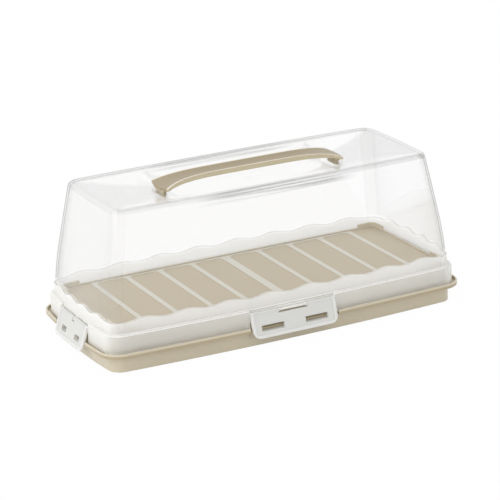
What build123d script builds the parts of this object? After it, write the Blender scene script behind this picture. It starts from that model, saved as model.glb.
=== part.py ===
from build123d import *
from math import cos, pi, radians, sin, sqrt
import os

os.makedirs("parts", exist_ok=True)

# Loaf keeper: a moulded tray with a raised deck, a clear lift-off hood with a strap
# handle in its hollowed roof, and four snap clips hinged on the hood.
# Millimetres. X runs along the length, the front long side is at -Y, Z is up and the
# origin is under the middle of the foot.

# Plan of the tray's rim, measured over its bowed sides
rim_length = 367.6
rim_width = 167.0
rim_radius = 20.0
side_bow = 5.6
end_bow = 4.8

# Tray: foot, rim and lip
foot_inset = 7.9
foot_wall = 2.0
rim_underside = 15.4
rim_thickness = 1.8
lip_height = 2.2
lip_thickness = 1.5
lip_chamfer = 0.5

# Tray: raised deck
deck_length = 331.0
deck_width = 125.0
deck_radius = 7.0
deck_height = 37.0
deck_draft = 3.0
deck_wall = 2.0
deck_lip_height = 1.3
deck_lip_width = 1.3

# Deck ladder: cross bars between two side rails
bar_count = 9
bar_pitch = 33.3
bar_width = 5.0
middle_bar_width = 8.0
rail_width = 3.2
rail_gap = 0.8
ladder_relief = 0.4
panel_radius = 4.5

# Corner tabs of the deck
tab_height = 4.6
tab_arm = 18.5
tab_thickness = 1.6

# Stiffening ribs under the deck
rib_thickness = 1.4
rib_depth = 4.0
rib_count = 4
rib_pitch = 66.0

# Hood: skirt, shoulder and frosted band
seat_gap = 0.3
skirt_inset = 4.6
skirt_wall = 1.6
skirt_radius = 15.6
shoulder_height = 35.3
shoulder_radius = 2.2
shoulder_angles = (0.0, 45.0, 90.0)
band_inset = 8.4
band_radius = 12.6
wave_height = 46.0
wave_amplitude = 1.4
wave_length = 40.0
long_waves = 8
end_wave_length = 28.0
end_waves = 4

# Hood: clear body, as insets from the rim at rising heights, and its rounded roof edge
body_wall = 1.6
body_inset_foot = 9.2
body_insets = ((10.7, 62.0), (12.6, 78.0), (17.4, 110.0))
body_inset_top = 21.6
roof_height = 141.6
body_radius_foot = 11.8
body_radius_top = 13.0
side_bow_top = 3.0
end_bow_top = 1.6
roof_edge_radius = 4.8
roof_wall = 1.8
roof_edge_start = 9.0
roof_edge_angles = (9.0, 36.0, 63.0, 90.0)
inner_edge_angles = (9.0, 90.0)

# Roof hollow: end slopes that narrow towards the handle, side slopes and the boat-shaped well
crest_land = 0.6
slope_half_widths = (39.0, 29.0, 22.5, 19.0)
slope_drop = 7.4
well_depth = 10.4
well_half_width = 21.0
well_tip_half_width = 11.0
gate_radius = 2.6
gate_depth = 0.5

# Strap handle
handle_length = 184.0
handle_overlap = 8.0
handle_well_gap = 4.0
handle_shares = (0.0, 0.4, 0.62, 0.76, 0.86, 0.94, 1.0)
handle_dish_shares = (-1.0, -0.55, 0.0, 0.55, 1.0)
handle_rise = 5.0
handle_sag = 7.0
handle_dish_half_width = 9.5
handle_end_dish_half_width = 16.6
handle_land = 0.9
handle_dish = 2.4
handle_end_dish = 1.0
handle_side_height = 4.2
handle_end_side_height = 2.2
handle_side_slant = 1.5
handle_end_side_slant = 0.8
handle_end_bulge = 3.6
handle_pad_half_width = 10.0
handle_pad_length = 5.0
handle_seat_gap = 0.2
tongue_width = 16.0
tongue_thickness = 3.0
tongue_gap = 0.2
barb_reach = 1.0
barb_height = 1.8
barb_gap = 0.3

# Hinge of the clips, with its axis set in from the rim's edge
hinge_inset = 6.4
hinge_height = 30.3
bar_radius = 1.0
knuckle_radius = 1.9
knuckle_clearance = 0.06
knuckle_mouth = 1.5
hinge_side_gap = 0.4
knuckle_wall_gap = 0.4
lug_thickness = 1.6
lug_reach = 1.2

# Clips
clip_bottom = 9.5
clip_flare = 6.4
clip_thickness = 1.8
clip_corner_radius = 7.0
clip_border_width = 3.0
clip_border_height = 0.5
slot_height = 5.2
hook_gap = 0.5
hook_nose = 0.9
hook_heel = 2.6
hook_tip = 1.5
hook_web = 1.2
web_tip = 2.6
notch_gap = 1.9
notch_inset = 4.4
pocket_return = 1.6
recess_depth = 1.6
recess_bottom = 4.5

# Long clips sit on the long sides, short clips on the ends
long_clip_half = 42.6
long_clip_gap = 14.7
long_slot_inner = 10.7
long_slot_outer = 33.3
short_clip_half = 30.4
short_clip_gap = 2.0
short_slot_inner = 9.3
short_slot_outer = 19.3

# Heights and spans that follow from the sizes above
rim_floor = rim_underside + rim_thickness
skirt_bottom = rim_floor + seat_gap
corner_x = rim_length / 2 - end_bow
corner_y = rim_width / 2 - side_bow
deck_top = deck_height + ladder_relief
edge_inset = body_inset_top + roof_edge_radius * cos(radians(roof_edge_start))
edge_foot = roof_height - roof_edge_radius * (1 - sin(radians(roof_edge_start)))
crest_x = corner_x - edge_inset - crest_land
crest_y = corner_y - edge_inset - crest_land
handle_half = handle_length / 2
slope_end = handle_half - handle_overlap
well_half_length = slope_end - handle_well_gap
slope_floor = roof_height - slope_drop
well_floor = roof_height - well_depth
clear = 40.0


def bowed_outline(half_x, half_y, bow_x, bow_y, radius):
    """Rectangle with bowed sides and rounded corners, added to the open sketch."""
    with BuildLine() as outline:
        ThreePointArc((-half_x, -half_y), (0, -half_y - bow_y), (half_x, -half_y))
        ThreePointArc((half_x, -half_y), (half_x + bow_x, 0), (half_x, half_y))
        ThreePointArc((half_x, half_y), (0, half_y + bow_y), (-half_x, half_y))
        ThreePointArc((-half_x, half_y), (-half_x - bow_x, 0), (-half_x, -half_y))
    face = make_face(outline.edges())
    fillet(face.vertices(), radius)


def rim_outline(inset, radius):
    """The rim's own outline, set in evenly."""
    bowed_outline(corner_x - inset, corner_y - inset, end_bow, side_bow, radius)


def body_outline(inset, height, wall=0.0):
    """The hood's outline at a height, where the bows flatten and the corners grow to the roof."""
    share = (height - wave_height) / (roof_height - wave_height)
    bow_x = end_bow + (end_bow_top - end_bow) * share
    bow_y = side_bow + (side_bow_top - side_bow) * share
    radius = body_radius_foot + (body_radius_top - body_radius_foot) * share - wall
    half_x, half_y = corner_x - inset - wall, corner_y - inset - wall
    bowed_outline(half_x, half_y, bow_x, bow_y, radius - max(0.0, inset - body_inset_top))


def roof_edge_levels(angles, wall):
    """Inset and height of the rounded roof edge at each angle, set in by a wall."""
    radius = roof_edge_radius - wall
    return [
        (
            edge_inset - radius * cos(radians(angle)) - wall,
            roof_height - roof_edge_radius + radius * sin(radians(angle)),
        )
        for angle in angles
    ]


# The four sides that carry a clip: name, outward direction, reach of the rim, clip sizes
long_clip = (long_clip_half, long_clip_gap, long_slot_inner, long_slot_outer)
short_clip = (short_clip_half, short_clip_gap, short_slot_inner, short_slot_outer)
sides = [
    ("front_clip", Vector(0, -1, 0), rim_width / 2, long_clip),
    ("rear_clip", Vector(0, 1, 0), rim_width / 2, long_clip),
    ("left_clip", Vector(-1, 0, 0), rim_length / 2, short_clip),
    ("right_clip", Vector(1, 0, 0), rim_length / 2, short_clip),
]
up = Vector(0, 0, 1)


def side_plane(outward, reach, inset):
    """Upright plane facing outward at an inset from the rim: local X along it, local Y up."""
    return Plane(origin=outward * (reach - inset), x_dir=up.cross(outward), z_dir=outward)


def section_plane(outward, reach):
    """Plane across a side through the hinge axis: local X outward, local Y up."""
    origin = outward * (reach - hinge_inset) + up * hinge_height
    return Plane(origin=origin, x_dir=outward, z_dir=outward.cross(up))


def upright_box(outward, reach, inset, depth, half_width, low, high, mode, centre=0.0):
    """Block on a side: starts at an inset and runs outward by depth."""
    with BuildSketch(side_plane(outward, reach, inset)) as block:
        with Locations((centre, (low + high) / 2)):
            Rectangle(2 * half_width, high - low)
    extrude(block.sketch, amount=depth, mode=mode)


# Tray: foot, rim with its upturned lip, raised deck with ladder, lip and corner tabs
with BuildPart() as base_tray:
    with BuildSketch():
        rim_outline(foot_inset, rim_radius - foot_inset)
    extrude(amount=rim_floor)
    with BuildSketch(Plane.XY.offset(rim_underside)):
        rim_outline(0, rim_radius)
    extrude(amount=rim_thickness + lip_height)
    chamfer(base_tray.faces().sort_by(Axis.Z)[-1].outer_wire().edges(), lip_chamfer)
    with BuildSketch(Plane.XY.offset(rim_floor)):
        rim_outline(lip_thickness, rim_radius - lip_thickness)
    extrude(amount=clear, mode=Mode.SUBTRACT)

    # Notch in the rim behind each clip
    for name, outward, reach, sizes in sides:
        notch_half = sizes[0] + notch_gap
        upright_box(outward, reach, notch_inset, clear, notch_half, rim_underside - 1, clear, Mode.SUBTRACT)

    # Deck body with drafted walls
    with BuildSketch(Plane.XY.offset(rim_underside)):
        RectangleRounded(deck_length + 2 * deck_draft, deck_width + 2 * deck_draft, deck_radius + deck_draft)
    with BuildSketch(Plane.XY.offset(deck_height)):
        RectangleRounded(deck_length, deck_width, deck_radius)
    loft()

    # Low lip round the deck and taller tabs at its corners
    with BuildSketch(Plane.XY.offset(deck_height)):
        RectangleRounded(deck_length, deck_width, deck_radius)
        RectangleRounded(
            deck_length - 2 * deck_lip_width,
            deck_width - 2 * deck_lip_width,
            deck_radius - deck_lip_width,
            mode=Mode.SUBTRACT,
        )
    extrude(amount=deck_lip_height)
    with BuildSketch(Plane.XY.offset(deck_height)):
        RectangleRounded(deck_length, deck_width, deck_radius)
        RectangleRounded(
            deck_length - 2 * tab_thickness,
            deck_width - 2 * tab_thickness,
            deck_radius - tab_thickness,
            mode=Mode.SUBTRACT,
        )
        Rectangle(deck_length - 2 * tab_arm, deck_width, mode=Mode.SUBTRACT)
        Rectangle(deck_length, deck_width - 2 * tab_arm, mode=Mode.SUBTRACT)
    extrude(amount=tab_height)

    # Ladder: rails and cross bars stand proud, the panels between have rounded corners
    ladder_half_x = (bar_count - 1) / 2 * bar_pitch + (middle_bar_width - bar_width) / 2 + bar_width / 2
    ladder_half_y = deck_width / 2 - deck_lip_width - rail_gap
    panel_length = 2 * (ladder_half_y - rail_width)
    with BuildSketch(Plane.XY.offset(deck_height)):
        Rectangle(2 * ladder_half_x, 2 * ladder_half_y)
        for step in range(bar_count // 2):
            near = middle_bar_width / 2 if step == 0 else step * bar_pitch + middle_bar_width / 2
            centre = near + (bar_pitch - bar_width) / 2
            with Locations((centre, 0), (-centre, 0)):
                RectangleRounded(bar_pitch - bar_width, panel_length, panel_radius, mode=Mode.SUBTRACT)
    extrude(amount=ladder_relief)

    # Hollow underside, open downwards, inside the foot wall and the deck wall
    with BuildSketch():
        rim_outline(foot_inset + foot_wall, rim_radius - foot_inset - foot_wall)
    extrude(amount=rim_underside, mode=Mode.SUBTRACT)
    hollow_x = deck_length + 2 * deck_draft - 2 * deck_wall
    hollow_y = deck_width + 2 * deck_draft - 2 * deck_wall
    with BuildSketch(Plane.XY.offset(rim_underside)):
        RectangleRounded(hollow_x, hollow_y, deck_radius + deck_draft - deck_wall)
    with BuildSketch(Plane.XY.offset(deck_height - deck_wall)):
        RectangleRounded(deck_length - 2 * deck_wall, deck_width - 2 * deck_wall, deck_radius - deck_wall)
    loft(mode=Mode.SUBTRACT)

    # Ribs under the deck
    rib_bottom = deck_height - deck_wall - rib_depth
    with BuildSketch(Plane.XY.offset(rib_bottom)):
        with GridLocations(rib_pitch, 1, rib_count, 1):
            Rectangle(rib_thickness, deck_width - deck_wall)
    extrude(amount=rib_depth + deck_wall / 2)

    # Recess in the foot wall under each notch: it deepens towards the rim and is backed inside
    for name, outward, reach, sizes in sides:
        foot_face = hinge_inset - foot_inset
        recess_foot = recess_bottom - hinge_height
        recess_top = rim_underside - hinge_height
        with BuildSketch(section_plane(outward, reach)):
            Polygon(
                (foot_face - foot_wall / 2, recess_foot - pocket_return),
                (foot_face - foot_wall / 2, recess_top),
                (foot_face - foot_wall - recess_depth, recess_top),
                (foot_face - foot_wall, recess_foot - pocket_return),
                align=None,
            )
        extrude(amount=sizes[0] + pocket_return, both=True)
        with BuildSketch(section_plane(outward, reach)):
            Polygon(
                (foot_face, recess_foot),
                (foot_face - recess_depth, recess_top),
                (foot_face + recess_depth, recess_top),
                (foot_face + recess_depth, recess_foot),
                align=None,
            )
        extrude(amount=sizes[0] + hinge_side_gap, both=True, mode=Mode.SUBTRACT)

# Space above the roof: end slopes, long side slopes and the boat-shaped well.
# Each cross-section is a trapezium whose floor follows the slope or the well.
def crest_half(x):
    """Half width of the roof's crest at a place along the length."""
    return crest_y + side_bow_top * (1 - (x / (corner_x - body_inset_top)) ** 2)


def across(x):
    """Upright plane across the hood at x."""
    return Plane(origin=(x, 0, 0), x_dir=(0, 1, 0), z_dir=(1, 0, 0))


def trough_section(x, half_floor, floor, lowered):
    """Trapezium across the roof at x, with its floor at a height, added to the open sketch."""
    edge = crest_half(x)
    top = roof_height - lowered
    rise = crest_land * (roof_height - floor) / (edge - half_floor)
    Polygon(
        (-edge - crest_land, top + clear),
        (-edge - crest_land, top + rise),
        (-half_floor, floor - lowered),
        (half_floor, floor - lowered),
        (edge + crest_land, top + rise),
        (edge + crest_land, top + clear),
        align=None,
    )


def well_half(x):
    """Half width of the well's floor at a place along the length."""
    share = abs(x) / well_half_length
    return well_tip_half_width + (well_half_width - well_tip_half_width) * sqrt(max(0.0, 1 - share**2))


def roof_space(lowered):
    """Everything above the roof's top skin, moved down by a thickness, as a solid."""
    slope_top = crest_x + end_bow_top
    slope_stations = [(slope_top, crest_half(slope_top) - crest_land, roof_height - 0.02)]
    for step, half_floor in enumerate(slope_half_widths, start=1):
        share = step / len(slope_half_widths)
        x = slope_top + (slope_end - slope_top) * share
        slope_stations.append((x, half_floor, roof_height - slope_drop * share))
    slope_stations.append((well_half_length, well_half(well_half_length), well_floor))
    well_shares = (-1, -0.9, -0.6, 0, 0.6, 0.9, 1)
    with BuildPart() as space:
        for end in (-1, 1):
            for x, half_floor, floor in slope_stations:
                with BuildSketch(across(end * x)):
                    trough_section(x, half_floor, floor, lowered)
            loft(ruled=True)
        for share in well_shares:
            x = share * well_half_length
            with BuildSketch(across(x)):
                trough_section(x, well_half(x), well_floor, lowered)
        loft(ruled=True)
        with BuildSketch(Plane.XY.offset(well_floor - clear / 4)):
            corner = body_radius_top - (edge_inset - body_inset_top) - crest_land
            bowed_outline(crest_x, crest_y, end_bow_top, side_bow_top, corner)
        extrude(amount=2 * clear, mode=Mode.INTERSECT)
    return space.part


# Inside of the hood
def body_solid(levels, wall=0.0):
    """Solid through the hood's outlines at rising levels, each an inset and a height."""
    with BuildPart() as solid:
        for inset, height in levels:
            with BuildSketch(Plane.XY.offset(height)):
                body_outline(inset, max(height, wave_height), wall)
        loft(ruled=True)
    return solid.part


inner_edge = roof_edge_levels(inner_edge_angles, body_wall)
with BuildPart() as hood_inside:
    add(body_solid([(body_inset_foot, wave_height), *body_insets, *inner_edge], body_wall))
    with BuildSketch(Plane.XY.offset(wave_height)):
        body_outline(body_inset_foot, wave_height, body_wall)
    extrude(amount=skirt_bottom - clear / 4 - wave_height)
    add(roof_space(roof_wall), mode=Mode.SUBTRACT)


def wave_line(count, length):
    """Points of a wave about the band's top, as long as count waves."""
    points = []
    for step in range(4 * count + 1):
        along = (step / 4 - count / 2) * length
        points.append((along, wave_height - wave_amplitude * cos(2 * pi * step / 4)))
    return points


# Frosted band: stands a little proud of the body and ends in a wavy edge
long_half = long_waves * wave_length / 2
end_half = end_waves * end_wave_length / 2
band_top = wave_height + clear / 4
wave_foot = wave_height - wave_amplitude
with BuildPart() as frosted_band:
    with BuildSketch(Plane.XY.offset(shoulder_height - shoulder_radius)):
        rim_outline(band_inset, band_radius)
    extrude(amount=band_top - shoulder_height + shoulder_radius)
    with BuildSketch(Plane.XZ):
        with BuildLine():
            Spline(*wave_line(long_waves, wave_length))
            Polyline(
                (long_half, wave_foot),
                (long_half, band_top + 1),
                (-long_half, band_top + 1),
                (-long_half, wave_foot),
            )
        make_face()
    extrude(amount=rim_width, both=True, mode=Mode.SUBTRACT)
    for end in (-1, 1):
        with BuildSketch(Plane.YZ.offset(end * long_half)):
            with BuildLine():
                Spline(*wave_line(end_waves, end_wave_length))
                Polyline(
                    (end_half, wave_foot),
                    (rim_width, wave_foot),
                    (rim_width, band_top + 1),
                    (-rim_width, band_top + 1),
                    (-rim_width, wave_foot),
                    (-end_half, wave_foot),
                )
            make_face()
        extrude(amount=end * rim_length, mode=Mode.SUBTRACT)

# Hood: skirt with a rounded shoulder, frosted band, clear body and hollowed roof
roof_edge = roof_edge_levels(roof_edge_angles, 0.0)
shoulder_foot = shoulder_height - shoulder_radius
body_foot = wave_height - wave_amplitude - 1
with BuildPart() as hood:
    with BuildSketch(Plane.XY.offset(skirt_bottom)):
        rim_outline(skirt_inset, skirt_radius)
    extrude(amount=shoulder_foot - skirt_bottom)
    for angle in shoulder_angles:
        set_in = shoulder_radius * (1 - cos(radians(angle)))
        with BuildSketch(Plane.XY.offset(shoulder_foot + shoulder_radius * sin(radians(angle)))):
            rim_outline(skirt_inset + set_in, skirt_radius - set_in)
    loft(ruled=True)
    add(frosted_band.part)
    add(body_solid([(body_inset_foot, body_foot), *body_insets, *roof_edge]))

    # Hollow roof, then the inside, then the space inside the skirt
    add(roof_space(0), mode=Mode.SUBTRACT)
    add(hood_inside.part, mode=Mode.SUBTRACT)
    with BuildSketch(Plane.XY.offset(skirt_bottom)):
        rim_outline(skirt_inset + skirt_wall, skirt_radius - skirt_wall)
    extrude(amount=shoulder_height - skirt_wall - skirt_bottom, mode=Mode.SUBTRACT)

    # Gate mark of the moulding in the middle of the well
    with Locations((0, 0, well_floor)):
        Cylinder(gate_radius, 2 * gate_depth, mode=Mode.SUBTRACT)

    # Hinge pocket on each side: set-back wall, return walls, two lugs and the hinge bar
    wall_inset = hinge_inset + knuckle_radius + knuckle_wall_gap
    for name, outward, reach, sizes in sides:
        half_clip, half_gap = sizes[0], sizes[1]
        opening = half_clip + hinge_side_gap
        outer = opening + pocket_return
        wall_low = hinge_height - knuckle_radius - knuckle_wall_gap
        upright_box(outward, reach, wall_inset, clear, opening, 0, shoulder_height, Mode.SUBTRACT)
        upright_box(
            outward, reach, wall_inset + skirt_wall, skirt_wall, outer, wall_low, shoulder_height, Mode.ADD
        )
        for end in (-1, 1):
            upright_box(
                outward,
                reach,
                wall_inset + skirt_wall,
                wall_inset - skirt_inset,
                pocket_return / 2,
                skirt_bottom + seat_gap,
                shoulder_height - shoulder_radius,
                Mode.ADD,
                centre=end * (opening + pocket_return / 2),
            )
            lug_outer = half_gap - hinge_side_gap
            cross = section_plane(outward, reach)
            lug_root = knuckle_radius + knuckle_wall_gap + skirt_wall / 2
            with BuildSketch(cross.offset(end * (lug_outer - lug_thickness))):
                with Locations(((lug_reach - lug_root) / 2, 0)):
                    Rectangle(lug_root + lug_reach, 2 * lug_reach)
            extrude(amount=end * lug_thickness)
        with BuildSketch(cross):
            Circle(bar_radius)
        extrude(amount=opening + pocket_return / 2, both=True)

    # Slots in the roof for the handle's tongues
    tongue_x = slope_end + handle_pad_length / 2 + barb_reach
    with Locations((tongue_x, 0, slope_floor), (-tongue_x, 0, slope_floor)):
        Box(
            tongue_thickness + 2 * tongue_gap,
            tongue_width + 2 * tongue_gap,
            2 * clear / 4,
            mode=Mode.SUBTRACT,
        )

# Handle: a dished strap that arches over the well, with a pad and barbed tongue at each end
slope_rate = slope_drop / (crest_x + end_bow_top - slope_end)
with BuildPart() as handle:
    for share in [-step for step in handle_shares[:0:-1]] + list(handle_shares):
        spread = abs(share) ** 5
        top = roof_height + handle_rise - handle_sag * spread
        dish_half = handle_dish_half_width + (handle_end_dish_half_width - handle_dish_half_width) * spread
        dish = handle_dish + (handle_end_dish - handle_dish) * spread
        side = handle_side_height + (handle_end_side_height - handle_side_height) * spread
        land = dish_half + handle_land
        low = land + handle_side_slant + (handle_end_side_slant - handle_side_slant) * spread
        with BuildSketch(across(share * handle_half)):
            Polygon(
                *[(dish_half * part, top - dish * (1 - part**2)) for part in handle_dish_shares],
                (land, top),
                (low, top - side),
                (-low, top - side),
                (-land, top),
                align=None,
            )
    loft(ruled=True)
    with BuildSketch(Plane.XY.offset(slope_floor - clear / 2)):
        end_x = handle_half - handle_end_bulge
        end_y = handle_end_dish_half_width + handle_land + handle_end_side_slant + 1
        with BuildLine():
            Line((-end_x, end_y), (end_x, end_y))
            ThreePointArc((end_x, end_y), (handle_half, 0), (end_x, -end_y))
            Line((end_x, -end_y), (-end_x, -end_y))
            ThreePointArc((-end_x, -end_y), (-handle_half, 0), (-end_x, end_y))
        make_face()
    extrude(amount=clear, mode=Mode.INTERSECT)

    # Pads that rest on the roof's end slopes, and tongues that hook under the roof
    pad_low = slope_floor + slope_rate * (handle_pad_length + 2 * barb_reach) + handle_seat_gap
    pad_top = roof_height + handle_rise - handle_sag - handle_end_side_height / 2
    barb_top = slope_floor - roof_wall - barb_gap
    for end in (-1, 1):
        with Locations((end * tongue_x, 0, (pad_low + pad_top) / 2)):
            Box(handle_pad_length, 2 * handle_pad_half_width, pad_top - pad_low)
        with Locations((end * tongue_x, 0, (barb_top - barb_height + pad_top) / 2)):
            Box(tongue_thickness, tongue_width, pad_top - barb_top + barb_height)
        with BuildSketch(Plane.XZ):
            edge = end * (tongue_x + tongue_thickness / 2)
            Polygon(
                (edge, barb_top),
                (edge + end * barb_reach, barb_top),
                (edge, barb_top - barb_height),
                align=None,
            )
        extrude(amount=tongue_width / 2 - tongue_gap, both=True)

# Clips: a flared plate with a raised border, two slots, two hooks and two open knuckles
clip_drop = hinge_height - clip_bottom
flare_rate = clip_flare / clip_drop
hook_top = rim_underside - hook_gap - hinge_height
parts_made = [(base_tray, "base_tray"), (hood, "hood"), (handle, "handle")]


def clip_section(front, back):
    """Section of a flared slab, as offsets from the plate's front face, added to the open sketch."""
    Polygon(
        (knuckle_radius + front, 0),
        (knuckle_radius + clip_flare + front, -clip_drop),
        (knuckle_radius + clip_flare + back, -clip_drop),
        (knuckle_radius + back, 0),
        align=None,
    )


def clip_outline(half_width, low, radius):
    """Front view of a clip: straight sides and rounded lower corners."""
    with BuildLine() as edge:
        Polyline(
            (-half_width, knuckle_radius),
            (-half_width, low),
            (half_width, low),
            (half_width, knuckle_radius),
            (-half_width, knuckle_radius),
        )
    with BuildSketch() as plate:
        face = make_face(edge.edges())
        fillet(face.vertices().group_by(Axis.Y)[0], radius)
    return plate.sketch


for name, outward, reach, sizes in sides:
    half_clip, half_gap, slot_inner, slot_outer = sizes
    cross = section_plane(outward, reach)
    face = Plane(origin=cross.origin, x_dir=up.cross(outward), z_dir=outward)
    # Raised border of the plate
    inner = half_clip - clip_border_width
    with BuildPart() as border:
        with BuildSketch(cross):
            clip_section(clip_border_height, -clip_thickness / 2)
        extrude(amount=half_clip, both=True)
        with BuildSketch(face):
            add(clip_outline(half_clip, -clip_drop, clip_corner_radius))
            add(
                clip_outline(inner, clip_border_width - clip_drop, clip_corner_radius - clip_border_width),
                mode=Mode.SUBTRACT,
            )
        extrude(amount=clear / 2, both=True, mode=Mode.INTERSECT)

    with BuildPart() as clip:
        # Plate and knuckles, drawn across and run along the hinge, trimmed to the front outline
        with BuildSketch(cross):
            clip_section(0, -clip_thickness)
        extrude(amount=half_clip, both=True)
        with BuildSketch(cross):
            Circle(knuckle_radius)
        extrude(amount=half_clip, both=True)
        with BuildSketch(face):
            add(clip_outline(half_clip, -clip_drop, clip_corner_radius))
        extrude(amount=clear / 2, both=True, mode=Mode.INTERSECT)
        add(border.part)

        # Gap between the two knuckles, bore for the hinge bar, and its snap-on mouth
        with BuildSketch(face):
            Rectangle(2 * half_gap, 2 * (knuckle_radius + hinge_side_gap))
        extrude(amount=clear / 2, both=True, mode=Mode.SUBTRACT)
        with BuildSketch(cross):
            Circle(bar_radius + knuckle_clearance)
            with Locations((-knuckle_radius, 0)):
                Rectangle(2 * knuckle_radius, knuckle_mouth)
        extrude(amount=half_clip + 1, both=True, mode=Mode.SUBTRACT)

        # Slots, with a hook below each that catches under the rim and a web at each end
        slot_centre = (slot_inner + slot_outer) / 2
        slot_length = slot_outer - slot_inner
        slot_top = hook_top + slot_height
        with BuildSketch(face):
            with Locations(
                (slot_centre, hook_top + slot_height / 2), (-slot_centre, hook_top + slot_height / 2)
            ):
                Rectangle(slot_length, slot_height)
        extrude(amount=clear / 2, both=True, mode=Mode.SUBTRACT)
        plate_middle = knuckle_radius - clip_thickness / 2
        heel = hook_top - hook_nose - hook_heel
        for end in (-1, 1):
            with BuildSketch(cross.offset(end * slot_inner)):
                Polygon(
                    (plate_middle - hook_top * flare_rate, hook_top),
                    (hook_tip, hook_top),
                    (hook_tip, hook_top - hook_nose),
                    (plate_middle - heel * flare_rate, heel),
                    align=None,
                )
            extrude(amount=end * slot_length)
            for start in (slot_inner - hook_web, slot_outer):
                with BuildSketch(cross.offset(end * start)):
                    Polygon(
                        (plate_middle - slot_top * flare_rate, slot_top),
                        (web_tip, slot_top - hook_web),
                        (web_tip, hook_top - hook_nose),
                        (plate_middle - heel * flare_rate, heel),
                        align=None,
                    )
                extrude(amount=end * hook_web)
    parts_made.append((clip, name))

for made, label in parts_made:
    made.part.label = label
    export_step(made.part, f"parts/{label}.step")
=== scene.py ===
import math

import bmesh
import bpy
from mathutils import Matrix, Vector


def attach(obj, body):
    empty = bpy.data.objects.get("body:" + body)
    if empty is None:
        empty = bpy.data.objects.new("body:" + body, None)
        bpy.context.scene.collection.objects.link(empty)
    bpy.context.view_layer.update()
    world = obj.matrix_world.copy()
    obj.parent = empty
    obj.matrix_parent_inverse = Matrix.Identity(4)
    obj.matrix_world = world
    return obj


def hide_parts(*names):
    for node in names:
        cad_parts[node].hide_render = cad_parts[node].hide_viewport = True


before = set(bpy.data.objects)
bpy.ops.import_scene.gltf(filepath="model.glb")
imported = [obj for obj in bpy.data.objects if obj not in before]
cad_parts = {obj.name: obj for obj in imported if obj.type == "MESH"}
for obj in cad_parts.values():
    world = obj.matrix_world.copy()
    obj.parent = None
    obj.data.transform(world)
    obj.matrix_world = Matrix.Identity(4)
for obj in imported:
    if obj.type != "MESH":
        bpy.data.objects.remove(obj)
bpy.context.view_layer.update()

MM = 0.001  # the scene is in metres, sizes below are written in millimetres

# Tray: heights of the deck's panels, of the ladder between them, and of the rim
panel_height = 37.0 * MM
ladder_height = panel_height + 0.4 * MM
rim_height = 16.4 * MM

# Hood: skirt, shoulder, and the band up to the wavy line
skirt_half_length = 179 * MM
skirt_half_width = 78 * MM
skirt_foot = 18.0 * MM
skirt_top = 34.0 * MM
# Heights of the painted highlight lines along the skirt's foot and its shoulder
foot_highlight_line = 18.4 * MM
shoulder_highlight_line, shoulder_line_reach = 34.3 * MM, 0.5 * MM
shoulder_foot = 34.2 * MM
shoulder_top = 35.2 * MM
wave_height = 46.0 * MM
wave_rise = 1.4 * MM
long_wave = 40 * MM
long_reach = 4 * long_wave
end_wave = 28 * MM
end_reach = 2 * end_wave
body_foot = 48 * MM

# Hood: hinge bars in the skirt's recesses, half widths of the recesses, and where the recesses begin
hinge_height, hinge_reach = 30.3 * MM, 2.6 * MM
long_recess, long_recess_wall = 43 * MM, 70 * MM
end_recess, end_recess_wall = 31 * MM, 170 * MM

# Hood: heights of the roof's rounded edge, and half sizes of the roof inside it
roof_edge_foot = 135.8 * MM
roof_edge_top = 137.4 * MM
roof_half_length = 150 * MM
roof_half_width = 49 * MM

# Hood: heights between which the streaks beside the roof's well set in, and where they run out
streak_foot = 131.5 * MM
streak_top = 134.0 * MM
streaks_full, streaks_end = 45 * MM, 85 * MM

# Clips: where the raised border begins, on the long clips, the short clips and the foot of both
long_clip_border = 39.6 * MM
short_clip_border = 27.4 * MM
clip_foot_border = 12.4 * MM
border_edge = 0.3 * MM

# Index of refraction of polypropylene
polypropylene_ior = 1.49


# Helpers
def linear(hex_colour):
    """Turns an sRGB hex colour into linear red, green, blue and a full alpha."""
    channels = [int(hex_colour[i:i + 2], 16) / 255 for i in (1, 3, 5)]
    return [c / 12.92 if c <= 0.04045 else ((c + 0.055) / 1.055) ** 2.4 for c in channels] + [1.0]


def node(tree, kind, inputs=None, **settings):
    """Adds a node to a tree. An input that is a node or a socket is linked, any other is set."""
    made = tree.nodes.new(kind)
    for name, value in settings.items():
        setattr(made, name, value)
    for name, value in (inputs or {}).items():
        if isinstance(value, bpy.types.Node):
            value = value.outputs[0]
        if isinstance(value, bpy.types.NodeSocket):
            tree.links.new(value, made.inputs[name])
        else:
            made.inputs[name].default_value = value
    return made


def empty_material(name):
    """A node material without nodes, and its tree."""
    material = bpy.data.materials.new(name)
    material.use_nodes = True
    material.node_tree.nodes.clear()
    return material, material.node_tree


def dress(piece, material):
    """Gives a piece one material in every slot."""
    for slot in piece.material_slots:
        slot.material = material


def join_scene(name, data):
    """A new object of a mesh, a lamp or a camera, at the origin."""
    made = bpy.data.objects.new(name, data)
    bpy.context.collection.objects.link(made)
    return made
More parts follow.
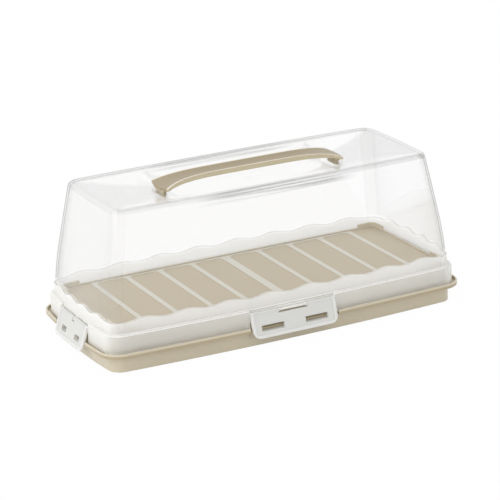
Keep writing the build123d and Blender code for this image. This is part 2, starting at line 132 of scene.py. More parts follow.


# Materials

# Beige polypropylene, injection moulded, warm putty with a satin skin. The panels carry the tool's fine spark
# texture, so they look matt and a little darker; the ladder between them, the rims and the walls come from
# polished steel and pick up the pale room. The ladder's lighter colour is a painted reflection of that room,
# and the rim's deeper colour is painted shade under the hood's skirt.
def beige_polypropylene():
    material, tree = empty_material("moulded_beige_polypropylene")
    place = node(tree, "ShaderNodeTexCoord").outputs["Object"]
    height = node(tree, "ShaderNodeSeparateXYZ", {"Vector": place}).outputs["Z"]
    panel, ladder, rim = (
        node(tree, "ShaderNodeMath", {0: height, 1: level, 2: reach * MM}, operation="COMPARE")
        for level, reach in ((panel_height, 0.2), (ladder_height, 0.2), (rim_height, 1.5))
    )
    # The panels, the ladder painted lighter as a painted reflection, and last the rim, painted darker than
    # the walls as painted shade under the skirt
    skin = linear("#D1C7B0")
    for mask, hex_colour in ((panel, "#C0B296"), (ladder, "#D4CFC1"), (rim, "#B3A588")):
        skin = node(tree, "ShaderNodeMix", {"Factor": mask, "A": skin, "B": linear(hex_colour)},
                    data_type="RGBA").outputs["Result"]
    # Slow flow marks of the melt, about 40 mm across
    flow = node(tree, "ShaderNodeTexNoise", {"Vector": place, "Scale": 1 / (40 * MM), "Detail": 2.0})
    tone = node(tree, "ShaderNodeMapRange", {"Value": flow, "To Min": 0.97, "To Max": 1.03})
    tinted = node(tree, "ShaderNodeVectorMath", {0: skin, 1: tone}, operation="MULTIPLY")
    # Spark texture, about 0.35 mm from pit to pit
    pits = node(tree, "ShaderNodeTexNoise", {"Vector": place, "Scale": 1 / (1.4 * MM), "Detail": 2.0})
    gloss = node(tree, "ShaderNodeMapRange", {"Value": panel, "To Min": 0.30, "To Max": 0.55})
    depth = node(tree, "ShaderNodeMapRange", {"Value": panel, "To Min": 0.05, "To Max": 0.3})
    edges = node(tree, "ShaderNodeBevel", {"Radius": 0.4 * MM}, samples=4)
    bump = node(tree, "ShaderNodeBump",
                {"Distance": 0.04 * MM, "Height": pits, "Strength": depth, "Normal": edges})
    body = node(tree, "ShaderNodeBsdfPrincipled",
                {"Base Color": tinted, "Roughness": gloss, "Normal": bump, "IOR": polypropylene_ior,
                 "Coat Weight": 0.25, "Coat Roughness": 0.15, "Subsurface Weight": 0.08,
                 "Subsurface Scale": 1.5 * MM, "Subsurface Radius": (1.0, 0.8, 0.5)})
    node(tree, "ShaderNodeOutputMaterial", {"Surface": body})
    return material


# The same polypropylene on the strap. Its dish is matt for the grip and is painted a shade darker, partly
# painted shade where the dish gets less light. The faces that look up, its rims foremost, are painted
# lighter, a painted highlight.
def strap_polypropylene():
    material, tree = empty_material("satin_beige_polypropylene_strap")
    place = node(tree, "ShaderNodeTexCoord").outputs["Object"]
    normal = node(tree, "ShaderNodeNewGeometry").outputs["Normal"]
    upward = node(tree, "ShaderNodeSeparateXYZ", {"Vector": normal}).outputs["Z"]
    # Painted highlight: the faces that look up are painted lighter
    rim = node(tree, "ShaderNodeMapRange", {"Value": upward, "From Min": 0.5, "From Max": 0.85})
    # Painted shade in the dish, which is also its matt grip
    dished = node(tree, "ShaderNodeAttribute", attribute_name="dish").outputs["Fac"]
    grip_and_shade = node(tree, "ShaderNodeMapRange", {"Value": dished, "From Min": 0.02, "From Max": 0.2},
                interpolation_type="SMOOTHSTEP")
    skin = linear("#C3B799")
    for mask, hex_colour in ((rim, "#EDE7DA"), (grip_and_shade, "#A89A80")):
        skin = node(tree, "ShaderNodeMix", {"Factor": mask, "A": skin, "B": linear(hex_colour)},
                    data_type="RGBA").outputs["Result"]
    # Slow flow marks of the melt, about 30 mm across
    flow = node(tree, "ShaderNodeTexNoise", {"Vector": place, "Scale": 1 / (30 * MM), "Detail": 2.0})
    tone = node(tree, "ShaderNodeMapRange", {"Value": flow, "To Min": 0.97, "To Max": 1.03})
    tinted = node(tree, "ShaderNodeVectorMath", {0: skin, 1: tone}, operation="MULTIPLY")
    gloss = node(tree, "ShaderNodeMapRange", {"Value": grip_and_shade, "To Min": 0.28, "To Max": 0.46})
    # Grip texture, about 0.4 mm from pit to pit
    pits = node(tree, "ShaderNodeTexNoise", {"Vector": place, "Scale": 1 / (1.6 * MM), "Detail": 2.0})
    bump = node(tree, "ShaderNodeBump", {"Distance": 0.04 * MM, "Strength": 0.2, "Height": pits})
    body = node(tree, "ShaderNodeBsdfPrincipled",
                {"Base Color": tinted, "Roughness": gloss, "Normal": bump, "IOR": polypropylene_ior,
                 "Subsurface Weight": 0.08, "Subsurface Scale": 1.2 * MM,
                 "Subsurface Radius": (1.0, 0.8, 0.5)})
    node(tree, "ShaderNodeOutputMaterial", {"Surface": body})
    return material


def frosted_band(tree, height, out_x, out_y):
    """1 on the band between the shoulder and the wavy line, 0 elsewhere."""
    lines = []
    for out, reach, pitch in ((out_x, long_reach, long_wave), (out_y, end_reach, end_wave)):
        out = node(tree, "ShaderNodeMath", {0: out, 1: reach}, operation="MINIMUM")
        turn = node(tree, "ShaderNodeMath", {0: out, 1: 2 * math.pi / pitch}, operation="MULTIPLY")
        swing = node(tree, "ShaderNodeMath", {0: turn}, operation="COSINE")
        lines.append(node(tree, "ShaderNodeMath", {0: swing, 1: -wave_rise, 2: wave_height},
                          operation="MULTIPLY_ADD"))
    line = node(tree, "ShaderNodeMath", {0: lines[0], 1: lines[1]}, operation="MAXIMUM")
    # It fades out over 0.8 mm at the wavy line, and over the shoulder's bend at its foot
    under = node(tree, "ShaderNodeMath", {0: line, 1: height}, operation="SUBTRACT")
    under = node(tree, "ShaderNodeMapRange", {"Value": under, "From Min": -0.3 * MM, "From Max": 0.5 * MM},
                 interpolation_type="SMOOTHSTEP")
    over = node(tree, "ShaderNodeMapRange",
                {"Value": height, "From Min": shoulder_foot, "From Max": shoulder_top},
                interpolation_type="SMOOTHSTEP")
    return node(tree, "ShaderNodeMath", {0: under, 1: over}, operation="MULTIPLY")


def cloudy_skirt(tree, height, skirt, out_x, out_y):
    """How cloudy the skirt is: a little all over, with painted highlight lines along its foot and its
    shoulder, and thick and milky where the hinge bars and their lugs stand in the recesses, which also paints
    them lighter so the shade behind doesn't show."""
    cloudy = node(tree, "ShaderNodeMapRange", {"Value": height, "From Min": skirt_foot, "From Max": skirt_top,
                                               "To Min": 0.3, "To Max": 0.34})
    # Painted highlight lines: thick haze along the shoulder's bend and along the foot
    shoulder = node(tree, "ShaderNodeMath", {0: height, 1: shoulder_highlight_line, 2: shoulder_line_reach},
                    operation="COMPARE")
    foot = node(tree, "ShaderNodeMath", {0: height, 1: foot_highlight_line}, operation="LESS_THAN")
    highlight_lines = node(tree, "ShaderNodeMath", {0: shoulder, 1: foot}, operation="ADD")
    cloudy = node(tree, "ShaderNodeMath", {0: highlight_lines, 1: 0.9, 2: cloudy}, operation="MULTIPLY_ADD")
    # Painted light over the hinge bars in the recesses, on top of their milkiness
    hinge = node(tree, "ShaderNodeMath", {0: height, 1: hinge_height, 2: hinge_reach}, operation="COMPARE")
    recesses = ((out_x, long_recess, out_y, long_recess_wall), (out_y, end_recess, out_x, end_recess_wall))
    for along, half_width, across, wall in recesses:
        near = node(tree, "ShaderNodeMath", {0: along, 1: half_width}, operation="LESS_THAN")
        far = node(tree, "ShaderNodeMath", {0: across, 1: wall}, operation="GREATER_THAN")
        milk = node(tree, "ShaderNodeMath", {0: near, 1: far}, operation="MULTIPLY")
        milk = node(tree, "ShaderNodeMath", {0: milk, 1: hinge}, operation="MULTIPLY")
        cloudy = node(tree, "ShaderNodeMath", {0: milk, 1: 0.5, 2: cloudy}, operation="MULTIPLY_ADD")
    return node(tree, "ShaderNodeMath", {0: cloudy, 1: skirt}, operation="MULTIPLY")


# Clear polypropylene of the hood, a thin moulded wall. It shows what is behind it almost unweakened,
# is painted grey where it is seen along its bends, painted shade in place of their refraction, and has
# a breath of haze. From the shoulder up to the wavy line the tool is blasted, and the wall is frosted milky
# white.
def clear_polypropylene():
    material, tree = empty_material("clear_moulded_polypropylene")
    place = node(tree, "ShaderNodeTexCoord").outputs["Object"]
    axes = node(tree, "ShaderNodeSeparateXYZ", {"Vector": place}).outputs
    height = axes["Z"]
    out_x, out_y = (node(tree, "ShaderNodeMath", {0: axes[axis]}, operation="ABSOLUTE") for axis in "XY")
    frosted = frosted_band(tree, height, out_x, out_y)
    skirt = node(tree, "ShaderNodeMapRange",
                 {"Value": height, "From Min": shoulder_top, "From Max": shoulder_foot})
    cloudy = cloudy_skirt(tree, height, skirt, out_x, out_y)

    # How the wall stands: lean_x, lean_y and lean_z are 1 where it faces along that axis, and facing is 0
    # where it is seen square on and 1 where it is seen along
    normal = node(tree, "ShaderNodeNewGeometry").outputs["Normal"]
    faces = node(tree, "ShaderNodeSeparateXYZ", {"Vector": normal}).outputs
    lean_x, lean_y, lean_z = (node(tree, "ShaderNodeMath", {0: faces[axis]}, operation="ABSOLUTE")
                              for axis in "XYZ")
    facing = node(tree, "ShaderNodeLayerWeight", {"Blend": 0.5}).outputs["Facing"]
    steep, slant, turned = (node(tree, "ShaderNodeMath", {0: facing, 1: power}, operation="POWER")
                            for power in (8.0, 5.0, 4.0))
    long_side = node(tree, "ShaderNodeMath", {0: lean_y, 1: lean_x}, operation="GREATER_THAN")
    past_x = node(tree, "ShaderNodeMath", {0: out_x, 1: roof_half_length}, operation="GREATER_THAN")
    past_y = node(tree, "ShaderNodeMath", {0: out_y, 1: roof_half_width}, operation="GREATER_THAN")
    outer = node(tree, "ShaderNodeMath", {0: past_x, 1: past_y}, operation="MAXIMUM")

    # The upright corners face partly along x and partly along y
    corner = node(tree, "ShaderNodeMath", {0: lean_x, 1: lean_y}, operation="MULTIPLY")
    corner = node(tree, "ShaderNodeMapRange", {"Value": corner, "From Min": 0.02, "From Max": 0.22},
                  interpolation_type="SMOOTHSTEP")

    # The roof's rounded edge faces out and up. The slopes of its well, which face in and up, don't count.
    sideways = node(tree, "ShaderNodeVectorMath", {0: normal, 1: (1.0, 1.0, 0.0)}, operation="MULTIPLY")
    flat = node(tree, "ShaderNodeVectorMath", {0: sideways}, operation="LENGTH").outputs["Value"]
    edge = node(tree, "ShaderNodeMath", {0: lean_z, 1: flat}, operation="MULTIPLY")
    edge = node(tree, "ShaderNodeMapRange", {"Value": edge, "From Min": 0.18, "From Max": 0.32},
                interpolation_type="SMOOTHSTEP")
    brim = node(tree, "ShaderNodeMapRange",
                {"Value": height, "From Min": roof_edge_foot, "From Max": roof_edge_top})
    bulge = node(tree, "ShaderNodeVectorMath", {0: place, 1: sideways}, operation="DOT_PRODUCT")
    bulge = node(tree, "ShaderNodeMath", {0: bulge.outputs["Value"], 1: faces["Z"]}, operation="MULTIPLY")
    bulge = node(tree, "ShaderNodeMath", {0: bulge, 1: 0.0}, operation="GREATER_THAN")
    weight = node(tree, "ShaderNodeMapRange", {"Value": long_side, "To Min": 0.2, "To Max": 1.0})
    for mask in (brim, bulge, outer, weight):
        edge = node(tree, "ShaderNodeMath", {0: edge, 1: mask}, operation="MULTIPLY")

    # Grey streaks along the roof's long edges, beside the well: 1.8 mm wide, drawn out 90 times,
    # and strongest where the wall is seen square on
    drawn = node(tree, "ShaderNodeVectorMath", {0: place, 1: (1 / 90, 1.0, 1.0)}, operation="MULTIPLY")
    streak = node(tree, "ShaderNodeTexNoise", {"Vector": drawn, "Scale": 1 / (1.8 * MM), "Detail": 1.0})
    streak = node(tree, "ShaderNodeMapRange", {"Value": streak, "From Min": 0.42, "From Max": 0.6})
    low_rim = node(tree, "ShaderNodeMapRange",
                   {"Value": height, "From Min": streak_foot, "From Max": streak_top})
    middle = node(tree, "ShaderNodeMapRange",
                  {"Value": out_x, "From Min": streaks_end, "From Max": streaks_full},
                  interpolation_type="SMOOTHSTEP")
    square_on = node(tree, "ShaderNodeMath", {0: 1.0, 1: facing}, operation="SUBTRACT")
    square_on = node(tree, "ShaderNodeMath", {0: square_on, 1: 2.0}, operation="POWER")
    for mask in (low_rim, middle, long_side, outer, square_on):
        streak = node(tree, "ShaderNodeMath", {0: streak, 1: mask}, operation="MULTIPLY")

    # The roof's sloping ends, painted grey as painted shade from their inward tilt, and the end walls
    sloping = node(tree, "ShaderNodeMapRange", {"Value": lean_x, "From Min": 0.04, "From Max": 0.085},
                   interpolation_type="SMOOTHSTEP")
    level = node(tree, "ShaderNodeMath", {0: lean_z, 1: 0.96}, operation="GREATER_THAN")
    roof_end_shade = node(tree, "ShaderNodeMath", {0: sloping, 1: level}, operation="MULTIPLY")
    end_wall = node(tree, "ShaderNodeMath", {0: lean_x, 1: 0.9}, operation="GREATER_THAN")

    # The painted grey, painted shade as the share of the light that the wall takes, above the band only: most
    # in its bends and streaks, a little at the roof's ends and the end walls, and more where it is seen
    # nearly along
    turned = node(tree, "ShaderNodeMath", {0: turned, 1: corner}, operation="MULTIPLY")
    steep = node(tree, "ShaderNodeMath", {0: steep, 1: outer}, operation="MULTIPLY")
    painted_grey = node(tree, "ShaderNodeMath", {0: facing, 1: 0.42, 2: 0.02}, operation="MULTIPLY_ADD")
    painted_grey = node(tree, "ShaderNodeMath", {0: painted_grey, 1: edge}, operation="MULTIPLY")
    for mask, share in ((turned, 0.65), (corner, 0.012), (streak, 0.3)):
        painted_grey = node(tree, "ShaderNodeMath", {0: mask, 1: share, 2: painted_grey}, operation="MULTIPLY_ADD")
    painted_grey = node(tree, "ShaderNodeMath", {0: painted_grey, 1: 0.38}, operation="MINIMUM")
    for mask, share in ((steep, 0.3), (roof_end_shade, 0.08), (end_wall, 0.012)):
        painted_grey = node(tree, "ShaderNodeMath", {0: mask, 1: share, 2: painted_grey}, operation="MULTIPLY_ADD")
    upper = node(tree, "ShaderNodeMath", {0: height, 1: body_foot}, operation="GREATER_THAN")
    painted_grey = node(tree, "ShaderNodeMath", {0: painted_grey, 1: upper}, operation="MULTIPLY")
    passed = node(tree, "ShaderNodeMath", {0: 1.0, 1: painted_grey}, operation="SUBTRACT")
    thin = node(tree, "ShaderNodeBsdfTransparent", {"Color": passed})

    # Gloss by the angle of the wall, as on any clear plastic, weaker on the frosting and the corners
    mirror = node(tree, "ShaderNodeMath", {0: slant, 1: 0.96, 2: 0.035}, operation="MULTIPLY_ADD")
    mirror = node(tree, "ShaderNodeMath", {0: mirror, 1: 0.3}, operation="MINIMUM")
    for mask, left in ((frosted, 0.25), (corner, 0.4)):
        kept = node(tree, "ShaderNodeMapRange", {"Value": mask, "To Min": 1.0, "To Max": left})
        mirror = node(tree, "ShaderNodeMath", {0: mirror, 1: kept}, operation="MULTIPLY")
    rough = node(tree, "ShaderNodeMapRange", {"Value": frosted, "To Min": 0.06, "To Max": 0.4})
    gloss = node(tree, "ShaderNodeBsdfGlossy", {"Color": (1.0, 1.0, 1.0, 1.0), "Roughness": rough})
    film = node(tree, "ShaderNodeMixShader", {0: mirror, 1: thin, 2: gloss})

    # Frosting and haze scatter light to both sides of the wall, mostly back. Only the inner skin of the
    # frosted band mostly lets it on.
    milk = node(tree, "ShaderNodeMix", {"Factor": skirt, "A": linear("#FCFCFB"), "B": linear("#FFFFFC")},
                data_type="RGBA")
    front = node(tree, "ShaderNodeBsdfDiffuse", {"Color": milk.outputs["Result"]})
    through = node(tree, "ShaderNodeBsdfTranslucent", {"Color": linear("#FCFCFB")})
    inside = node(tree, "ShaderNodeAttribute", attribute_name="inner").outputs["Fac"]
    inside = node(tree, "ShaderNodeMath", {0: inside, 1: frosted}, operation="MULTIPLY")
    share = node(tree, "ShaderNodeMapRange", {"Value": inside, "To Min": 0.36, "To Max": 0.95})
    scatter = node(tree, "ShaderNodeMixShader", {0: share, 1: front, 2: through})

    # The way through the haze is longer where the wall is seen at a slant
    haze = node(tree, "ShaderNodeMath", {0: frosted, 1: 0.5, 2: 0.003}, operation="MULTIPLY_ADD")
    haze = node(tree, "ShaderNodeMath", {0: corner, 1: 0.04, 2: haze}, operation="MULTIPLY_ADD")
    longer = node(tree, "ShaderNodeMath", {0: facing, 1: 2.2, 2: 1.0}, operation="MULTIPLY_ADD")
    haze = node(tree, "ShaderNodeMath", {0: haze, 1: longer}, operation="MULTIPLY")
    longer = node(tree, "ShaderNodeMath", {0: facing, 1: 3.0, 2: 1.0}, operation="MULTIPLY_ADD")
    haze = node(tree, "ShaderNodeMath", {0: cloudy, 1: longer, 2: haze}, operation="MULTIPLY_ADD",
                use_clamp=True)
    wall = node(tree, "ShaderNodeMixShader", {0: haze, 1: film, 2: scatter})
    node(tree, "ShaderNodeOutputMaterial", {"Surface": wall})
    return material


# Natural polypropylene of the clips, moulded without colour: milky, satin and a little see-through.
# The raised border along the sides and the foot of each clip is thicker and lets less through.
def milky_polypropylene():
    material, tree = empty_material("natural_polypropylene_clip")
    place = node(tree, "ShaderNodeTexCoord").outputs["Object"]
    # Slow clouds of the melt, about 12 mm across
    cloud = node(tree, "ShaderNodeTexNoise", {"Vector": place, "Scale": 1 / (12 * MM), "Detail": 2.0})
    tone = node(tree, "ShaderNodeMapRange", {"Value": cloud, "To Min": 0.97, "To Max": 1.0})
    tinted = node(tree, "ShaderNodeVectorMath", {0: linear("#EDEDEA")[:3], 1: tone}, operation="MULTIPLY")
    edges = node(tree, "ShaderNodeBevel", {"Radius": 0.5 * MM}, samples=4)
    body = node(tree, "ShaderNodeBsdfPrincipled",
                {"Base Color": tinted, "Roughness": 0.36, "Normal": edges, "IOR": polypropylene_ior,
                 "Subsurface Weight": 0.3, "Subsurface Scale": 2 * MM,
                 "Subsurface Radius": (1.0, 1.0, 0.95)})
    axes = node(tree, "ShaderNodeSeparateXYZ", {"Vector": place}).outputs
    out_x, out_y = (node(tree, "ShaderNodeMath", {0: axes[axis]}, operation="ABSOLUTE") for axis in "XY")
    borders = ((out_x, long_clip_border, border_edge), (out_y, short_clip_border, border_edge),
               (axes["Z"], clip_foot_border, -border_edge))
    long_side, short_side, foot = (
        node(tree, "ShaderNodeMapRange", {"Value": out, "From Min": line - half, "From Max": line + half})
        for out, line, half in borders
    )
    on_end = node(tree, "ShaderNodeMath", {0: out_x, 1: end_recess_wall}, operation="GREATER_THAN")
    side = node(tree, "ShaderNodeMix", {"Factor": on_end, "A": long_side, "B": short_side}, data_type="FLOAT")
    border = node(tree, "ShaderNodeMath", {0: side, 1: foot}, operation="MAXIMUM")
    seen = node(tree, "ShaderNodeMapRange", {"Value": border, "To Min": 0.2, "To Max": 0.08})
    window = node(tree, "ShaderNodeBsdfTransparent", {"Color": linear("#F4F5F3")})
    wall = node(tree, "ShaderNodeMixShader", {0: seen, 1: body, 2: window})
    node(tree, "ShaderNodeOutputMaterial", {"Surface": wall})
    return material


# Strap: a closed section that widens to both ends, dished on top, arched over the roof's well
strap_sizes = {
    "Half Length": 92.0, "Crest Height": 146.6, "Sag": 7.0, "End Bulge": 3.6, "Bulge Half Width": 18.3,
    "Middle Half Width": 9.5, "End Half Width": 16.6, "Rim Width": 0.9, "Middle Dish": 2.4, "End Dish": 1.0,
    "Middle Side": 4.2, "End Side": 2.2, "Middle Slant": 1.5, "End Slant": 0.8,
}
strap_columns, strap_lap_points = 97, 51

# Pad and barbed tongue under each end of the strap: half widths, and outlines in x and z
pad_half_width = 10.0
pad_outline = ((85, 135.1), (90, 135.1), (90, 138.5), (85, 138.5))
tongue_half_width = 8.0
tongue_outline = ((86, 130.3), (89, 130.3), (90, 132.1), (89, 132.1), (89, 138.5), (86, 138.5))


def strap_rule():
    """The Geometry Nodes tree that bends a grid into the strap, and the identifiers of its inputs."""
    tree = bpy.data.node_groups.new("dished_strap", "GeometryNodeTree")
    kinds = {name: "NodeSocketFloat" for name in strap_sizes}
    kinds["Material"] = "NodeSocketMaterial"
    sockets = {name: tree.interface.new_socket(name, in_out="INPUT", socket_type=kind).identifier
               for name, kind in kinds.items()}
    tree.interface.new_socket("Mesh", in_out="OUTPUT", socket_type="NodeSocketGeometry")
    given = node(tree, "NodeGroupInput").outputs
    grid = node(tree, "GeometryNodeMeshGrid",
                {"Size X": 2.0, "Size Y": 1.0, "Vertices X": strap_columns, "Vertices Y": strap_lap_points})
    spot = node(tree, "ShaderNodeSeparateXYZ", {"Vector": node(tree, "GeometryNodeInputPosition")}).outputs
    # The section's sizes change from the middle of the strap, 0, to its ends, 1
    spread = node(tree, "ShaderNodeMath", {0: spot["X"]}, operation="ABSOLUTE")
    spread = node(tree, "ShaderNodeMath", {0: spread, 1: 5.0}, operation="POWER")
    local = {name: node(tree, "ShaderNodeMapRange", {"Value": spread, "To Min": given["Middle " + name],
                                                     "To Max": given["End " + name]})
             for name in ("Half Width", "Dish", "Side", "Slant")}
    # One lap round the section: dish from +y to -y, rim, side, underside, side, rim
    lap = node(tree, "ShaderNodeMath", {0: spot["Y"], 1: 0.5}, operation="ADD")
    near_rim, near_side, underside, far_side, far_rim = (
        node(tree, "ShaderNodeMapRange", {"Value": lap, "From Min": start, "From Max": end})
        for start, end in ((0.5, 0.54), (0.54, 0.64), (0.64, 0.86), (0.86, 0.96), (0.96, 1.0))
    )
    dish_at = node(tree, "ShaderNodeMapRange", {"Value": lap, "From Min": 0.0, "From Max": 0.5,
                                                "To Min": 1.0, "To Max": -1.0})
    under_at = node(tree, "ShaderNodeMath", {0: underside, 1: 2.0}, operation="MULTIPLY")
    across = node(tree, "ShaderNodeMath", {0: dish_at, 1: under_at}, operation="ADD")
    across = node(tree, "ShaderNodeMath", {0: across, 1: local["Half Width"]}, operation="MULTIPLY")
    for first, last, size in ((near_rim, far_rim, given["Rim Width"]), (near_side, far_side, local["Slant"])):
        offset = node(tree, "ShaderNodeMath", {0: under_at, 1: first}, operation="SUBTRACT")
        offset = node(tree, "ShaderNodeMath", {0: offset, 1: last}, operation="SUBTRACT")
        across = node(tree, "ShaderNodeMath", {0: offset, 1: size, 2: across}, operation="MULTIPLY_ADD")
    hollow = node(tree, "ShaderNodeMath", {0: dish_at, 1: dish_at}, operation="MULTIPLY")
    hollow = node(tree, "ShaderNodeMath", {0: 1.0, 1: hollow}, operation="SUBTRACT")
    down = node(tree, "ShaderNodeMath", {0: near_side, 1: far_side}, operation="SUBTRACT")
    drop = node(tree, "ShaderNodeMath", {0: hollow, 1: local["Dish"]}, operation="MULTIPLY")
    drop = node(tree, "ShaderNodeMath", {0: down, 1: local["Side"], 2: drop}, operation="MULTIPLY_ADD")
    sag = node(tree, "ShaderNodeMath", {0: spread, 1: given["Sag"]}, operation="MULTIPLY")
    height = node(tree, "ShaderNodeMath", {0: given["Crest Height"], 1: sag}, operation="SUBTRACT")
    height = node(tree, "ShaderNodeMath", {0: height, 1: drop}, operation="SUBTRACT")
    # The ends bulge out in the middle of their width
    bulge = node(tree, "ShaderNodeMath", {0: across, 1: given["Bulge Half Width"]}, operation="DIVIDE")
    bulge = node(tree, "ShaderNodeMath", {0: bulge, 1: bulge}, operation="MULTIPLY")
    bulge = node(tree, "ShaderNodeMath", {0: bulge, 1: given["End Bulge"]}, operation="MULTIPLY")
    reach = node(tree, "ShaderNodeMath", {0: given["Half Length"], 1: bulge}, operation="SUBTRACT")
    along = node(tree, "ShaderNodeMath", {0: spot["X"], 1: reach}, operation="MULTIPLY")
    target = node(tree, "ShaderNodeCombineXYZ", {"X": along, "Y": across, "Z": height})
    dish = node(tree, "ShaderNodeMath", {0: hollow, 1: 0.0}, operation="MAXIMUM")
    marked = node(tree, "GeometryNodeStoreNamedAttribute", {"Geometry": grid, "Name": "dish", "Value": dish},
                  data_type="FLOAT", domain="POINT")
    moved = node(tree, "GeometryNodeSetPosition", {"Geometry": marked, "Position": target})
    closed = node(tree, "GeometryNodeMergeByDistance", {"Geometry": moved, "Distance": 0.001 * MM})
    whole = node(tree, "GeometryNodeRealizeInstances", {"Geometry": closed})
    dressed = node(tree, "GeometryNodeSetMaterial", {"Geometry": whole, "Material": given["Material"]})
    node(tree, "NodeGroupOutput", {"Mesh": dressed})
    return tree, sockets


def strap_handle(skin):
    """The strap as a plain mesh with closed ends, and with a pad and a barbed tongue under each end."""
    maker = join_scene("strap_maker", bpy.data.meshes.new("strap_maker"))
    rule = maker.modifiers.new("dished_strap", "NODES")
    rule.node_group, sockets = strap_rule()
    for name, value in strap_sizes.items():
        rule[sockets[name]] = value * MM
    rule[sockets["Material"]] = skin
    bpy.context.view_layer.update()
    mesh = bpy.data.meshes.new_from_object(maker.evaluated_get(bpy.context.evaluated_depsgraph_get()))
    bpy.data.objects.remove(maker)
    shape = bmesh.new()
    shape.from_mesh(mesh)
    bmesh.ops.holes_fill(shape, edges=[edge for edge in shape.edges if edge.is_boundary])
    for end in (-1, 1):
        for half_width, outline in ((pad_half_width, pad_outline), (tongue_half_width, tongue_outline)):
            corners = [shape.verts.new((end * x * MM, half_width * MM, z * MM)) for x, z in outline]
            grown = bmesh.ops.extrude_face_region(shape, geom=[shape.faces.new(corners)])["geom"]
            bmesh.ops.translate(shape, verts=[g for g in grown if isinstance(g, bmesh.types.BMVert)],
                                vec=(0, -2 * half_width * MM, 0))
    bmesh.ops.recalc_face_normals(shape, faces=shape.faces)
    for face in shape.faces:
        face.smooth = True
        face.material_index = 0
    for edge in shape.edges:
        edge.smooth = edge.calc_face_angle(0) < math.radians(35)
    shape.to_mesh(mesh)
    shape.free()
    mesh.materials.clear()
    mesh.materials.append(skin)
    mesh.name = "strap_handle"
    strap = join_scene("strap_handle", mesh)
    rounding = strap.modifiers.new("rounded_edges", "BEVEL")
    rounding.width = 0.4 * MM
    rounding.segments = 3
    rounding.limit_method = "ANGLE"
    rounding.angle_limit = math.radians(40)
    return strap


# Hood: a bend under wall_crease is smooth, between nearly level faces only one under level_crease, and
# the ledge at the wavy line is smooth all round
wall_crease = math.radians(50)
level_crease = math.radians(9)
ledge_foot, ledge_top = 40 * MM, 50 * MM
roof_foot = 137 * MM


def clear_hood():
    """The hood as a copy of its CAD mesh with the doubles merged, its bends smooth, and every face that
    looks to the inside of the shell marked."""
    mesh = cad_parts["hood"].data.copy()
    mesh.name = "clear_hood"
    shape = bmesh.new()
    shape.from_mesh(mesh)
    bmesh.ops.remove_doubles(shape, verts=shape.verts, dist=0.002 * MM)
    for edge in shape.edges:
        level = all(abs(face.normal.z) > 0.8 for face in edge.link_faces)
        on_ledge = all(ledge_foot < vert.co.z < ledge_top for vert in edge.verts)
        edge.smooth = on_ledge or edge.calc_face_angle(0) < (level_crease if level else wall_crease)
    inner = shape.faces.layers.float.new("inner")
    for face in shape.faces:
        face.smooth = True
        spot, normal = face.calc_center_median(), face.normal
        sideways = normal.x * spot.x / skirt_half_length + normal.y * spot.y / skirt_half_width
        outward = normal.z if spot.z > roof_foot else sideways + 0.5 * normal.z
        face[inner] = 1.0 if outward < 0 else 0.0
    shape.to_mesh(mesh)
    shape.free()
    mesh.normals_split_custom_set([(0, 0, 0)] * len(mesh.loops))
    hood = join_scene("clear_hood", mesh)
    even = hood.modifiers.new("even_normals", "WEIGHTED_NORMAL")
    even.keep_sharp = True
    return hood


# The pieces
beige = beige_polypropylene()
strap_skin = strap_polypropylene()
clear = clear_polypropylene()
milky = milky_polypropylene()

strap = strap_handle(strap_skin)
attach(strap, "hood_body")
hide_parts("handle")

hood = clear_hood()
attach(hood, "hood_body")
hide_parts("hood")

dress(hood, clear)
dress(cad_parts["base_tray"], beige)
for clip_name in ("front_clip", "rear_clip", "left_clip", "right_clip"):
    dress(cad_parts[clip_name], milky)


# Studio: a pale floor that keeps the soft shadow, and a white room
def backdrop_seen(tree):
    """1 for the rays that show the backdrop: seen directly, in gloss or through a clear wall."""
    path = node(tree, "ShaderNodeLightPath").outputs
    seen = node(tree, "ShaderNodeMath", {0: path["Is Camera Ray"], 1: path["Is Glossy Ray"]},
                operation="MAXIMUM")
    return node(tree, "ShaderNodeMath", {0: seen, 1: path["Is Transmission Ray"]}, operation="MAXIMUM")


floor_half = 6.0
floor_corners = [(x * floor_half, y * floor_half, 0) for x, y in ((-1, -1), (1, -1), (1, 1), (-1, 1))]
floor_mesh = bpy.data.meshes.new("floor")
floor_mesh.from_pydata(floor_corners, [], [(0, 1, 2, 3)])
floor = join_scene("floor", floor_mesh)
paper, tree = empty_material("white_paper_floor")
place = node(tree, "ShaderNodeTexCoord").outputs["Object"]
away = node(tree, "ShaderNodeVectorMath", {0: place}, operation="LENGTH").outputs["Value"]
# The floor shows as white, and only near the container a little of the shadow is left
white = node(tree, "ShaderNodeMapRange",
             {"Value": away, "From Min": 0.3, "From Max": 0.8, "To Min": 0.98, "To Max": 1.0},
             interpolation_type="SMOOTHSTEP")
white = node(tree, "ShaderNodeMath", {0: backdrop_seen(tree), 1: white}, operation="MULTIPLY")
sheet = node(tree, "ShaderNodeBsdfDiffuse", {"Color": linear("#F2F2F2")})
glow = node(tree, "ShaderNodeEmission", {"Strength": 1.0})
both = node(tree, "ShaderNodeMixShader", {0: white, 1: sheet, 2: glow})
node(tree, "ShaderNodeOutputMaterial", {"Surface": both})
floor_mesh.materials.append(paper)

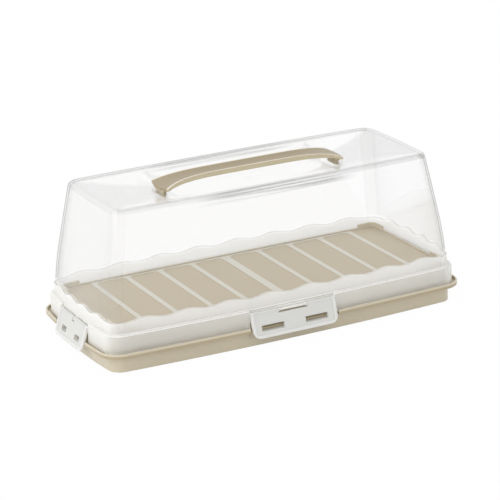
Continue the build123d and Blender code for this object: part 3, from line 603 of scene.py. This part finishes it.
world = bpy.data.worlds.new("white_room")
bpy.context.scene.world = world
world.use_nodes = True
tree = world.node_tree
tree.nodes.clear()
level = node(tree, "ShaderNodeMapRange", {"Value": backdrop_seen(tree), "To Min": 0.82, "To Max": 1.0})
backdrop = node(tree, "ShaderNodeBackground", {"Color": (1.0, 1.0, 1.0, 1.0), "Strength": level})
node(tree, "ShaderNodeOutputWorld", {"Surface": backdrop})

# Soft window light: square lamps that look at the tray. The rear one leaves no reflection in the roof.
softbox_size = 1.4
softbox_aim = Vector((0, 0, 0.05))
for name, spot, watts, mirrored in (
    ("left_window", Vector((-1.6, -0.3, 0.9)), 10, True),
    ("front_fill", Vector((-0.8, -1.9, 0.6)), 3, True),
    ("rear_window", Vector((1.2, 1.5, 0.5)), 7, False),
):
    light = bpy.data.lights.new(name, "AREA")
    light.shape = "SQUARE"
    light.size = softbox_size
    light.energy = watts
    lamp = join_scene(name, light)
    lamp.location = spot
    lamp.rotation_euler = (softbox_aim - spot).to_track_quat("-Z", "Y").to_euler()
    lamp.visible_glossy = mirrored

# Camera fitted to the photograph's edges. Its focal length and its optical centre are in pixels.
azimuth, elevation, roll = math.radians(26.401), math.radians(18.882), math.radians(-2.177)
distance, aim = 2.0142, Vector((0.00297, 0.0, 0.0662))
picture_size, focal_length = 500, 2193.9
centre_x, centre_y = 254.2, 244.3
sensor_width = 36
look = Vector((math.sin(azimuth) * math.cos(elevation), math.cos(azimuth) * math.cos(elevation),
               -math.sin(elevation)))
right = look.cross(Vector((0, 0, 1))).normalized()
top = right.cross(look)
across = math.cos(roll) * right + math.sin(roll) * top
upward = -math.sin(roll) * right + math.cos(roll) * top
spot = aim - look * distance
lens = bpy.data.cameras.new("camera")
lens.lens = focal_length * sensor_width / picture_size
lens.sensor_width = sensor_width
lens.shift_x = (picture_size / 2 - centre_x) / picture_size
lens.shift_y = (centre_y - picture_size / 2) / picture_size
camera = join_scene("camera", lens)
camera.matrix_world = Matrix((
    (across.x, upward.x, -look.x, spot.x),
    (across.y, upward.y, -look.y, spot.y),
    (across.z, upward.z, -look.z, spot.z),
    (0, 0, 0, 1),
))
scene = bpy.context.scene
scene.camera = camera
scene.view_settings.view_transform = "Standard"
